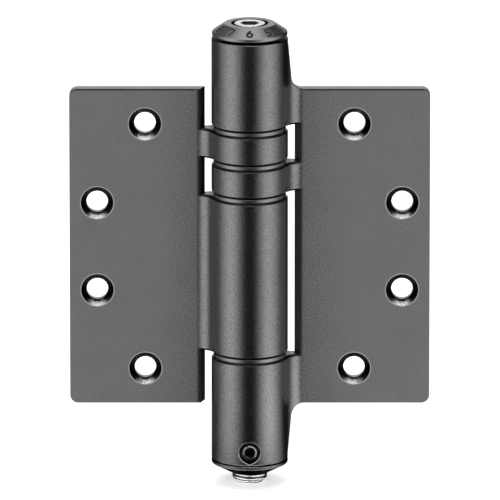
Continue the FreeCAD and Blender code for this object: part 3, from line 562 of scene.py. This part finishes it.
def makeMetal(name, settings):
    material, tree, shader = newMaterial(name)
    grain = useGroup(tree, coatGrain, Grain_Size=settings["grainSize"])
    rings = useGroup(tree, turnedRings, Ring_Size=settings["rings"])["Rings"]
    edge = useGroup(tree, edgeWearAndGlint, Radius=settings["edgeRadius"])
    if "joint" in settings:
        depth = useGroup(tree, jointShade, Reach=settings["joint"])["Open"]
    else:
        depth = useGroup(tree, socketShade, Reach=settings["socket"])["Open"]
    tone = settings["tone"] if isinstance(settings["tone"], tuple) else (settings["tone"],) * 3
    rubGlintTone = [min(1.0, part * settings["edgeGain"] + settings["edgeLift"]) for part in tone]
    brighter = grey(settings["edgeTone"]) if "edgeTone" in settings else (*rubGlintTone, 1.0)
    share, spread = settings["ringShare"], settings["roughSpread"]
    colour = toned(tree, (*tone, 1.0), scaled(tree, rings, 1.0 - share, 1.0 + share))
    colour = toned(tree, colour, scaled(tree, grain["Mottle"], *settings["mottle"]))
    # edges lightened partly as rubbed wear and partly as a painted highlight
    colour = mixColour(tree, product(tree, edge["RubbedAndGlint"], settings["rubGlint"]), colour, brighter)
    # painted shade in joints and sockets
    colour = toned(tree, colour, mixValue(tree, depth, settings["deepShadeTone"], 1.0))
    rough = calc(tree, "ADD", settings["rough"], scaled(tree, grain["Mottle"], -spread, spread))
    bump = put(tree, "ShaderNodeBump", {"Height": rings, "Normal": edge["Normal"]})
    bump.inputs["Strength"].default_value = settings["ringBump"]
    bump.inputs["Distance"].default_value = settings["ringDepth"]
    shader.inputs["Metallic"].default_value = 1.0
    # painted highlight ring round the set screw's socket, made non-metallic so it stays light
    if "screwGlint" in settings:
        screwGlint = screwGlintRing(tree, grain["Mottle"], settings["screwGlint"])
        colour = mixColour(tree, screwGlint, colour, brighter)
        feed(tree, shader.inputs["Metallic"], calc(tree, "SUBTRACT", 1.0, screwGlint))
    feed(tree, shader.inputs["Base Color"], colour)
    feed(tree, shader.inputs["Roughness"], rough)
    feed(tree, shader.inputs["Normal"], bump.outputs[0])
    return material


# rubber and paint
softCoat = {
    "mottle": (0.9, 1.1),
    "grainTone": (0.92, 1.08),
    "roughSpread": 0.05,
    "grainBump": 0.2,
    "grainDepth": 0.00003,
}
softFinishes = {
    "sealRubber": {"tone": 0.02, "rough": 0.6, "grain": 0.0003},
    "numeralPaint": {"tone": 0.008, "rough": 0.5, "grain": 0.0002},
}


def makeSoft(name, settings):
    material, tree, shader = newMaterial(name)
    grain = useGroup(tree, coatGrain, Grain_Size=settings["grain"])
    spread = settings["roughSpread"]
    colour = toned(tree, grey(settings["tone"]), scaled(tree, grain["Mottle"], *settings["mottle"]))
    colour = toned(tree, colour, scaled(tree, grain["Grain"], *settings["grainTone"]))
    rough = calc(tree, "ADD", settings["rough"], scaled(tree, grain["Grain"], -spread, spread))
    bump = put(tree, "ShaderNodeBump", {"Height": grain["Grain"]})
    bump.inputs["Strength"].default_value = settings["grainBump"]
    bump.inputs["Distance"].default_value = settings["grainDepth"]
    feed(tree, shader.inputs["Base Color"], colour)
    feed(tree, shader.inputs["Roughness"], rough)
    feed(tree, shader.inputs["Normal"], bump.outputs[0])
    return material


finishes = {
    "greyFinish": makeLeafFinish("greyFinish", leafFinish),
    "shadedPlugFinish": makeLeafFinish("shadedPlugFinish", leafFinish | shadedPlugFinish),
}
for name, settings in metalFinishes.items():
    finishes[name] = makeMetal(name, metalCoat | settings)
for name, settings in softFinishes.items():
    finishes[name] = makeSoft(name, softCoat | settings)
print("finishes made,", len(finishes))

# which finish each slot of the record shows
slotFinish = {
    "grey_finish": "greyFinish",
    "dial_finish": "dialFinish",
    "bright_steel": "brightSteel",
    "plain_steel": "plainSteel",
    "spring_steel": "springSteel",
    "bronze": "bronze",
    "piston_metal": "pistonMetal",
    "washer_steel": "washerSteel",
    "seal_rubber": "sealRubber",
}
for node in nodes.values():
    for slot in node.material_slots:
        slot.material = finishes[slotFinish[slot.material.name.split(".")[0]]]
nodes["plug_set_screw"].material_slots[0].material = finishes["blackenedSteel"]
nodes["end_plug"].material_slots[0].material = finishes["shadedPlugFinish"]
nodes["tension_stud"].material_slots[0].material = finishes["studSteel"]
print("nodes dressed")

# how a copy of a node is joined before a cut and smoothed after it
cutting = {"weldGap": 0.000001, "sharpAngle": 25}


# a copy of a node with its loose triangles joined, ready to be cut
def joinedCopy(node, finish):
    mesh = bpy.data.meshes.new(node)
    work = bmesh.new()
    work.from_mesh(nodes[node].data)
    bmesh.ops.remove_doubles(work, verts=work.verts, dist=cutting["weldGap"])
    work.to_mesh(mesh)
    work.free()
    for layer in ("custom_normal", "sharp_face", "sharp_edge"):
        if layer in mesh.attributes:
            mesh.attributes.remove(mesh.attributes[layer])
    mesh.materials.clear()
    mesh.materials.append(finishes[finish])
    return mesh


def smooth(mesh):
    mesh.polygons.foreach_set("use_smooth", [True] * len(mesh.polygons))
    mesh.set_sharp_from_angle(angle=math.radians(cutting["sharpAngle"]))


def carved(name, mesh, cutter):
    piece = bpy.data.objects.new(name, mesh)
    tool = bpy.data.objects.new(name + "Cutter", cutter)
    for item in (piece, tool):
        scene.collection.objects.link(item)
    cut = piece.modifiers.new("cut", "BOOLEAN")
    cut.operation = "DIFFERENCE"
    cut.solver = "EXACT"
    cut.material_mode = "TRANSFER"
    cut.use_self = True
    cut.object = tool
    graph = bpy.context.evaluated_depsgraph_get()
    made = bpy.data.meshes.new_from_object(piece.evaluated_get(graph))
    piece.modifiers.clear()
    piece.data = made
    made.name = name
    bpy.data.objects.remove(tool)
    smooth(made)
    print(name, "cut,", len(made.polygons), "faces")
    return piece


# the cutter that a sweep tree makes, with its seams joined and its faces turned outwards
def sweptCutter(name, tree, keys, source, settings):
    holder = bpy.data.objects.new(name, source)
    scene.collection.objects.link(holder)
    sweep = holder.modifiers.new("sweep", "NODES")
    sweep.node_group = tree
    for label, key in keys.items():
        sweep[key] = settings[label]
    graph = bpy.context.evaluated_depsgraph_get()
    mesh = bpy.data.meshes.new_from_object(holder.evaluated_get(graph))
    holder.modifiers.clear()
    bpy.data.objects.remove(holder)
    work = bmesh.new()
    work.from_mesh(mesh)
    bmesh.ops.remove_doubles(work, verts=work.verts, dist=cutting["weldGap"])
    bmesh.ops.recalc_face_normals(work, faces=work.faces)
    work.to_mesh(mesh)
    work.free()
    return mesh


def newSweepTree(name, inputs):
    tree = bpy.data.node_groups.new(name, "GeometryNodeTree")
    tree.interface.new_socket("Geometry", in_out="INPUT", socket_type="NodeSocketGeometry")
    tree.interface.new_socket("Geometry", in_out="OUTPUT", socket_type="NodeSocketGeometry")
    keys = {}
    for label in inputs:
        socket = tree.interface.new_socket(label, in_out="INPUT", socket_type="NodeSocketFloat")
        keys[label] = socket.identifier
    return tree, tree.nodes.new("NodeGroupInput").outputs, keys


def endSweepTree(tree, geometry, finish):
    real = put(tree, "GeometryNodeRealizeInstances", {0: geometry}).outputs[0]
    dressed = put(tree, "GeometryNodeSetMaterial", {"Geometry": real, "Material": finishes[finish]})
    put(tree, "NodeGroupOutput", {0: dressed.outputs[0]})


# numbers engraved round the bevel of the tension dial, each a few strokes of a round cutter
dialNumbers = {
    "frontNumber": 6,
    "midReach": 0.01115,
    "bevelAcross": 0.0043,
    "bevelRise": 0.0029,
    "tall": 0.0028,
    "wide": 0.0018,
    "cutterSides": 8,
    "Cutter Radius": 0.0004,
}


# points along part of an ellipse, from one angle in degrees to another
def bow(x, y, wide, tall, start, end, steps=14):
    angles = [math.radians(start + (end - start) * step / steps) for step in range(steps + 1)]
    return [(x + wide * math.cos(angle), y + tall * math.sin(angle)) for angle in angles]


# strokes of the digits 0 to 9, each in a box from -0.5 to 0.5 both ways
six = [(0.28, 0.5), (-0.12, 0.38), (-0.38, 0.12)] + bow(0, -0.18, 0.5, 0.32, 180, 555)
digitStrokes = [
    [bow(0, 0, 0.5, 0.5, 90, 470)],
    [[(-0.3, 0.22), (0.1, 0.5), (0.1, -0.5)]],
    [bow(0, 0.2, 0.48, 0.3, 170, -25) + [(-0.5, -0.5), (0.5, -0.5)]],
    [bow(-0.02, 0.25, 0.44, 0.25, 150, -95), bow(-0.02, -0.23, 0.5, 0.27, 95, -150)],
    [[(0.2, -0.5), (0.2, 0.5), (-0.5, -0.18), (0.5, -0.18)]],
    [[(0.42, 0.5), (-0.36, 0.5), (-0.44, 0.03)] + bow(-0.02, -0.18, 0.5, 0.32, 140, -150)],
    [six],
    [[(-0.48, 0.5), (0.48, 0.5), (-0.12, -0.5)]],
    [bow(0, 0.26, 0.4, 0.24, 90, 470), bow(0, -0.24, 0.5, 0.26, 90, 470)],
    [[(-x, -y) for x, y in six]],
]


def makeNumberPaths(settings, top):
    paths = bpy.data.curves.new("numberPaths", "CURVE")
    paths.dimensions = "3D"
    slope = math.hypot(settings["bevelAcross"], settings["bevelRise"])
    for number, strokes in enumerate(digitStrokes):
        middle = -2 * math.pi * (number - settings["frontNumber"]) / len(digitStrokes)
        for stroke in strokes:
            spline = paths.splines.new("POLY")
            spline.points.add(len(stroke) - 1)
            for point, (across, along) in zip(spline.points, stroke):
                share = along * settings["tall"] / slope
                reach = settings["midReach"] - share * settings["bevelAcross"]
                turn = middle + across * settings["wide"] / reach
                height = top + (share - 0.5) * settings["bevelRise"]
                point.co = (reach * math.sin(turn), -reach * math.cos(turn), height, 1.0)
    return paths


def makeNumberTree(settings):
    tree, given, keys = newSweepTree("dialNumbers", ["Cutter Radius"])
    section = put(
        tree,
        "GeometryNodeCurvePrimitiveCircle",
        {"Resolution": settings["cutterSides"], "Radius": given["Cutter Radius"]},
    ).outputs[0]
    stroke = put(
        tree,
        "GeometryNodeCurveToMesh",
        {"Curve": given["Geometry"], "Profile Curve": section, "Fill Caps": True},
    ).outputs[0]
    endSweepTree(tree, stroke, "numeralPaint")
    return tree, keys


numberPaths = makeNumberPaths(dialNumbers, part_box("tension_dial")[1].z)
numberTree = makeNumberTree(dialNumbers)
numberCutter = sweptCutter("numberCutter", *numberTree, numberPaths, dialNumbers)
dial = carved("dialNumbered", joinedCopy("tension_dial", "dialFinish"), numberCutter)
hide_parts("tension_dial")
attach(dial, "tension_dial")

# thread of the speed regulator, a groove that winds up the stub and follows its tapered end
stubThread = {
    "Reach": 0.0062,
    "Taper": 0.0015,
    "Pitch": 0.00125,
    "Depth": 0.00042,
    "Height": 0.005,
    "Start": -0.0004,
    "turnSteps": 48,
    "grooveSides": 4,
}


def makeThreadTree(settings, bottom):
    labels = ("Reach", "Taper", "Pitch", "Depth", "Height", "Start")
    tree, given, keys = newSweepTree("stubThread", labels)
    turns = calc(tree, "DIVIDE", given["Height"], given["Pitch"])
    path = put(
        tree,
        "GeometryNodeCurveSpiral",
        {
            "Resolution": settings["turnSteps"],
            "Rotations": turns,
            "Start Radius": given["Reach"],
            "End Radius": given["Reach"],
            "Height": given["Height"],
        },
    ).outputs[0]
    start = put(tree, "GeometryNodeInputPosition").outputs[0]
    x, y, z = put(tree, "ShaderNodeSeparateXYZ", {0: start}).outputs
    rise = calc(tree, "ADD", z, given["Start"])
    tapered = calc(tree, "ADD", calc(tree, "SUBTRACT", given["Reach"], given["Taper"]), rise)
    share = calc(tree, "DIVIDE", calc(tree, "MINIMUM", tapered, given["Reach"]), given["Reach"])
    moved = {0: product(tree, x, share), 1: product(tree, y, share), 2: calc(tree, "ADD", rise, bottom)}
    place = put(tree, "ShaderNodeCombineXYZ", moved).outputs[0]
    path = put(tree, "GeometryNodeSetPosition", {"Geometry": path, "Position": place}).outputs[0]
    upright = put(tree, "GeometryNodeSetCurveNormal", {"Curve": path}, mode="Z_UP").outputs[0]
    section = put(
        tree,
        "GeometryNodeCurvePrimitiveCircle",
        {"Resolution": settings["grooveSides"], "Radius": given["Depth"]},
    ).outputs[0]
    groove = put(
        tree,
        "GeometryNodeCurveToMesh",
        {"Curve": upright, "Profile Curve": section, "Fill Caps": True},
    ).outputs[0]
    # the groove faces take the darker copy of the bright steel, a painted shade
    endSweepTree(tree, groove, "threadSteel")
    return tree, keys


threadTree = makeThreadTree(stubThread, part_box("speed_regulator")[0].z)
threadCutter = sweptCutter("threadCutter", *threadTree, bpy.data.meshes.new("threadCutter"), stubThread)
regulator = carved("regulatorThreaded", joinedCopy("speed_regulator", "brightSteel"), threadCutter)
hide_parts("speed_regulator")
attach(regulator, "speed_regulator")

# torsion spring in two halves that meet at mid height
springHalves = {"endLength": 0.0085, "seamReach": 0.0018}


# cuts across the wire at mid height and keeps the side with the highest or the lowest vertex
def springHalf(name, middle, outermost, reach):
    mesh = joinedCopy("torsion_spring", "springSteel")
    mesh.name = name
    work = bmesh.new()
    work.from_mesh(mesh)
    near = []
    for face in work.faces:
        x, y, z = face.calc_center_median()
        if x > 0 and abs(y) < reach and abs(z - middle) < reach:
            near.append(face)
    edges = {edge for face in near for edge in face.edges}
    verts = {vert for face in near for vert in face.verts}
    around = [*verts, *edges, *near]
    cut = bmesh.ops.bisect_plane(work, geom=around, plane_co=(0, 0, 0), plane_no=(0, 1, 0))
    seam = [item for item in cut["geom_cut"] if isinstance(item, bmesh.types.BMEdge)]
    bmesh.ops.split_edges(work, edges=seam)
    kept, waiting = set(), [outermost(work.verts, key=lambda vert: vert.co.z)]
    while waiting:
        vert = waiting.pop()
        if vert not in kept:
            kept.add(vert)
            waiting.extend(edge.other_vert(vert) for edge in vert.link_edges)
    bmesh.ops.delete(work, geom=[vert for vert in work.verts if vert not in kept], context="VERTS")
    bmesh.ops.holes_fill(work, edges=[edge for edge in work.edges if edge.is_boundary], sides=0)
    bmesh.ops.recalc_face_normals(work, faces=work.faces)
    loose = sum(not edge.is_manifold for edge in work.edges)
    work.to_mesh(mesh)
    work.free()
    smooth(mesh)
    half = bpy.data.objects.new(name, mesh)
    scene.collection.objects.link(half)
    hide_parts("torsion_spring")
    print(name, "split off,", len(mesh.polygons), "faces,", loose, "open edges")
    return half


def makeSpring(settings):
    low, high = (corner.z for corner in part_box("torsion_spring"))
    middle, reach = (low + high) / 2, settings["seamReach"]
    upper = springHalf("springUpper", middle, max, reach)
    lower = springHalf("springLower", middle, min, reach)
    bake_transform(upper)
    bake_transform(lower)


makeSpring(springHalves)

# studio: pale floor, white surround, soft lamps, and cards that only reflections see
studio = {
    "floorGap": 0.0002,
    "floorSize": 16.0,
    "floorTone": 0.82,
    "floorLift": 0.45,
    "floorCloud": 3.0,
    "floorSpread": (0.98, 1.02),
    "surround": 0.6,
    "cardReach": 1.1,
    "cardHeight": 2.45,
    "cardGap": 0.0001,
    "darkGap": 0.00015,
    "cardStart": 0.0005,
    "arcStep": 6,
    "backGap": 20,
    "sideGlow": 1.3,
    "frontFade": (17, 50),
    "sideFade": (66, 112),
    "leftDim": 0.07,
    "backRise": (158, 178),
    "backGlow": 1.0,
    "nearFade": (0.03, 0.085),
    "nearLevel": 0.4,
    "poolGlow": 0.6,
    "poolPlace": (0.085, -0.055),
    "poolReach": 0.12,
    "stubGlow": 1.5,
    "stubDots": ((0.0146, 0.0178), (0.0053, 0.0059)),
    "dotSide": 8,
    "stubSides": (78, 98),
    "stubReach": (0.024, 0.028),
    "plugShade": (0.0064, 0.0115),
    "stubShade": (0.0043, 0.0051),
    "shadeSide": 86,
    "topGlow": 1.4,
    "topFront": 111,
    "rimGlow": 4.0,
    "rimSide": 20,
    "rimReach": 1.05,
    "rimHeight": (0.9, 1.9),
}


def seenDirectly(tree):
    rays = put(tree, "ShaderNodeLightPath").outputs
    seen = calc(tree, "MAXIMUM", rays["Is Camera Ray"], rays["Is Glossy Ray"])
    return calc(tree, "MAXIMUM", seen, rays["Is Transmission Ray"])


def meshPiece(name, corners, faces, material):
    mesh = bpy.data.meshes.new(name)
    mesh.from_pydata(corners, [], faces)
    mesh.materials.append(material)
    piece = bpy.data.objects.new(name, mesh)
    scene.collection.objects.link(piece)
    return piece


# an empty material whose glow isn't sampled as a lamp
def newGlow(name):
    material = bpy.data.materials.new(name)
    material.use_nodes = True
    material.cycles.emission_sampling = "NONE"
    material.node_tree.nodes.clear()
    return material, material.node_tree


def makeFloor(settings, level):
    material, tree = newGlow("paleFloor")
    place = put(tree, "ShaderNodeTexCoord").outputs["Object"]
    cloud = put(tree, "ShaderNodeTexNoise", {"Vector": place, "Scale": settings["floorCloud"]}).outputs[0]
    tone = toned(tree, grey(settings["floorTone"]), scaled(tree, cloud, *settings["floorSpread"]))
    matt = put(tree, "ShaderNodeBsdfDiffuse", {"Color": tone}).outputs[0]
    lift = calc(tree, "MULTIPLY", seenDirectly(tree), settings["floorLift"])
    glow = put(tree, "ShaderNodeEmission", {"Strength": lift}).outputs[0]
    both = put(tree, "ShaderNodeAddShader", {0: matt, 1: glow}).outputs[0]
    under = put(tree, "ShaderNodeNewGeometry").outputs["Backfacing"]
    clear = put(tree, "ShaderNodeBsdfTransparent").outputs[0]
    upper = put(tree, "ShaderNodeMixShader", {0: under, 1: both, 2: clear}).outputs[0]  # clear from below
    put(tree, "ShaderNodeOutputMaterial", {0: upper})
    half = settings["floorSize"] / 2
    corners = [(-half, -half, level), (half, -half, level), (half, half, level), (-half, half, level)]
    return meshPiece("floor", corners, [(0, 1, 2, 3)], material)


# angles are counted from the camera's side, towards +X
def onArc(angle, reach, height):
    turn = math.radians(angle)
    return (reach * math.sin(turn), -reach * math.cos(turn), height)


def onlyMirrored(piece):
    piece.visible_camera = False
    piece.visible_diffuse = False
    piece.visible_shadow = False
    piece.visible_transmission = False
    return piece


def glowMaterial(name, strength):
    material, tree = newGlow(name)
    glow = put(tree, "ShaderNodeEmission", {"Strength": strength}).outputs[0]
    put(tree, "ShaderNodeOutputMaterial", {0: glow})
    return material


def arcSteps(start, end):
    steps = max(2, round(abs(end - start) / studio["arcStep"]))
    angles = [start + (end - start) * step / steps for step in range(steps + 1)]
    return list(zip(angles, angles[1:]))


# a glow that rises from the middle of the camera's side, dies away round the sides and comes back behind
def makeGradedGlow(settings, level):
    material, tree = newGlow("gradedGlow")
    place = put(tree, "ShaderNodeTexCoord").outputs["Object"]
    x, y, _ = put(tree, "ShaderNodeSeparateXYZ", {0: place}).outputs
    turn = calc(tree, "ARCTAN2", calc(tree, "ABSOLUTE", x), calc(tree, "MULTIPLY", y, -1.0))
    reach, _ = axisDistance(tree, place)

    def ramp(limits, start, end):
        low, high = (math.radians(limit) for limit in limits)
        return put(tree, "ShaderNodeMapRange", {0: turn, 1: low, 2: high, 3: start, 4: end}).outputs[0]

    onLeft = calc(tree, "MULTIPLY", calc(tree, "LESS_THAN", x, 0.0), settings["leftDim"])
    sides = calc(tree, "MAXIMUM", ramp(settings["sideFade"], 1.0, 0.0), onLeft)
    lit = calc(tree, "MINIMUM", ramp(settings["frontFade"], 0.0, 1.0), sides)
    lit = calc(tree, "MAXIMUM", lit, ramp(settings["backRise"], 0.0, settings["backGlow"]))
    middle = (*settings["poolPlace"], level)
    away = vectorCalc(tree, "DISTANCE", place, middle)["Value"]
    pool = between(tree, away, 0.0, settings["poolReach"], settings["poolGlow"], 0.0)
    near = between(tree, reach, *settings["nearFade"], settings["nearLevel"], 1.0)
    far = calc(tree, "ADD", calc(tree, "MULTIPLY", near, settings["sideGlow"]), pool)
    stub = calc(tree, "MULTIPLY", ramp(settings["stubSides"], 1.0, 0.0), settings["stubGlow"])
    outside = between(tree, reach, *settings["stubReach"])
    strength = mixValue(tree, outside, stub, calc(tree, "MULTIPLY", lit, far))
    glow = put(tree, "ShaderNodeEmission", {"Strength": strength}).outputs[0]
    put(tree, "ShaderNodeOutputMaterial", {0: glow})
    return material


def addQuad(corners, faces, *quad):
    faces.append(tuple(range(len(corners), len(corners) + 4)))
    corners.extend(quad)


def addWall(corners, faces, start, end, reach, low, high):
    for first, second in arcSteps(start, end):
        bottom = (onArc(first, reach, low), onArc(second, reach, low))
        addQuad(corners, faces, *bottom, onArc(second, reach, high), onArc(first, reach, high))


def addRing(corners, faces, start, end, inner, outer, level):
    for first, second in arcSteps(start, end):
        near = (onArc(first, inner, level), onArc(first, outer, level))
        addQuad(corners, faces, *near, onArc(second, outer, level), onArc(second, inner, level))


def makeGradedCards(settings, level):
    corners = []
    faces = []
    low = level + settings["cardGap"]
    back = 180 - settings["backGap"]
    addWall(corners, faces, -back, back, settings["cardReach"], low, settings["cardHeight"])
    addRing(corners, faces, -180, 180, settings["cardStart"], settings["cardReach"], low)
    return onlyMirrored(meshPiece("gradedCards", corners, faces, makeGradedGlow(settings, level)))


def topRim(settings, start, end):
    angles = range(start, end + 1, settings["arcStep"])
    return [onArc(angle, settings["cardReach"], settings["cardHeight"]) for angle in angles]


def makeDarkCards(settings, level):
    corners = []
    faces = []
    low = level + settings["darkGap"]
    side, dot = settings["shadeSide"], settings["dotSide"]
    for inner, outer in (settings["plugShade"], settings["stubShade"]):
        addRing(corners, faces, -side, side, inner, outer, low)
    for inner, outer in settings["stubDots"]:
        addRing(corners, faces, -dot, dot, inner, outer, low)
    split = 180 - settings["topFront"]
    front = topRim(settings, -split, split)
    faces.append(tuple(range(len(corners), len(corners) + len(front))))
    corners.extend(front)
    return onlyMirrored(meshPiece("darkCards", corners, faces, glowMaterial("darkCard", 0.0)))


# a small bright window high in front, caught only by edges that lean back
def makeRimGlow(settings):
    corners = []
    faces = []
    side = settings["rimSide"]
    addWall(corners, faces, -side, side, settings["rimReach"], *settings["rimHeight"])
    return onlyMirrored(meshPiece("rimGlow", corners, faces, glowMaterial("rimGlow", settings["rimGlow"])))


def makeTopGlow(settings):
    start = 180 - settings["topFront"]
    rim = topRim(settings, start, 360 - start)
    glow = glowMaterial("topGlow", settings["topGlow"])
    return onlyMirrored(meshPiece("topGlow", rim, [tuple(range(len(rim)))], glow))


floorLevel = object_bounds()[0].z - studio["floorGap"]
floor = makeFloor(studio, floorLevel)
cards = [
    makeGradedCards(studio, floorLevel),
    makeDarkCards(studio, floorLevel),
    makeTopGlow(studio),
    makeRimGlow(studio),
]

# white where it is seen directly or mirrored, and a weaker light for everything else
world = bpy.data.worlds.new("surround")
scene.world = world
world.use_nodes = True
world.cycles.sampling_method = "NONE"
sky = world.node_tree
sky.nodes.clear()
seen = seenDirectly(sky)
level = put(sky, "ShaderNodeMapRange", {0: seen, 3: studio["surround"], 4: 1.0}).outputs[0]
backdrop = put(sky, "ShaderNodeBackground", {"Strength": level})
put(sky, "ShaderNodeOutputWorld", {0: backdrop.outputs[0]})

lamps = {
    "keySoft": {"place": (-1.1, -1.6, 1.3), "size": 1.2, "power": 18.0},
    "fillSoft": {"place": (1.3, -1.5, 0.9), "size": 1.2, "power": 12.5},
    "topSoft": {"place": (0.0, 0.2, 1.8), "size": 1.4, "power": 15.0},
    "backSoft": {"place": (0.3, 2.0, 1.1), "size": 1.2, "power": 14.0},
}
for name, settings in lamps.items():
    light = bpy.data.lights.new(name, "AREA")
    light.size = settings["size"]
    light.energy = settings["power"]
    lamp = bpy.data.objects.new(name, light)
    lamp.location = settings["place"]
    lamp.rotation_euler = (-Vector(settings["place"])).to_track_quat("-Z", "Y").to_euler()
    lamp.visible_glossy = False
    scene.collection.objects.link(lamp)
print("studio lit,", len(lamps), "lamps")

# camera above the middle of the hinge, on its countersunk side
shot = {
    "aim": (0.0001, 0.0, 0.0009),
    "back": 4.0,
    "rise": 1.037,
    "lens": 844.0,
    "sensor": 36.0,
    "clip": (0.05, 30.0),
}
camera = bpy.data.objects.new("camera", bpy.data.cameras.new("camera"))
camera.data.sensor_width = shot["sensor"]
camera.data.lens = shot["lens"]
camera.data.clip_start, camera.data.clip_end = shot["clip"]
aim = Vector(shot["aim"])
camera.location = aim + Vector((0.0, -shot["back"], shot["rise"]))
camera.rotation_euler = (aim - camera.location).to_track_quat("-Z", "Y").to_euler()
scene.collection.objects.link(camera)
scene.camera = camera
scene.view_settings.view_transform = "Standard"
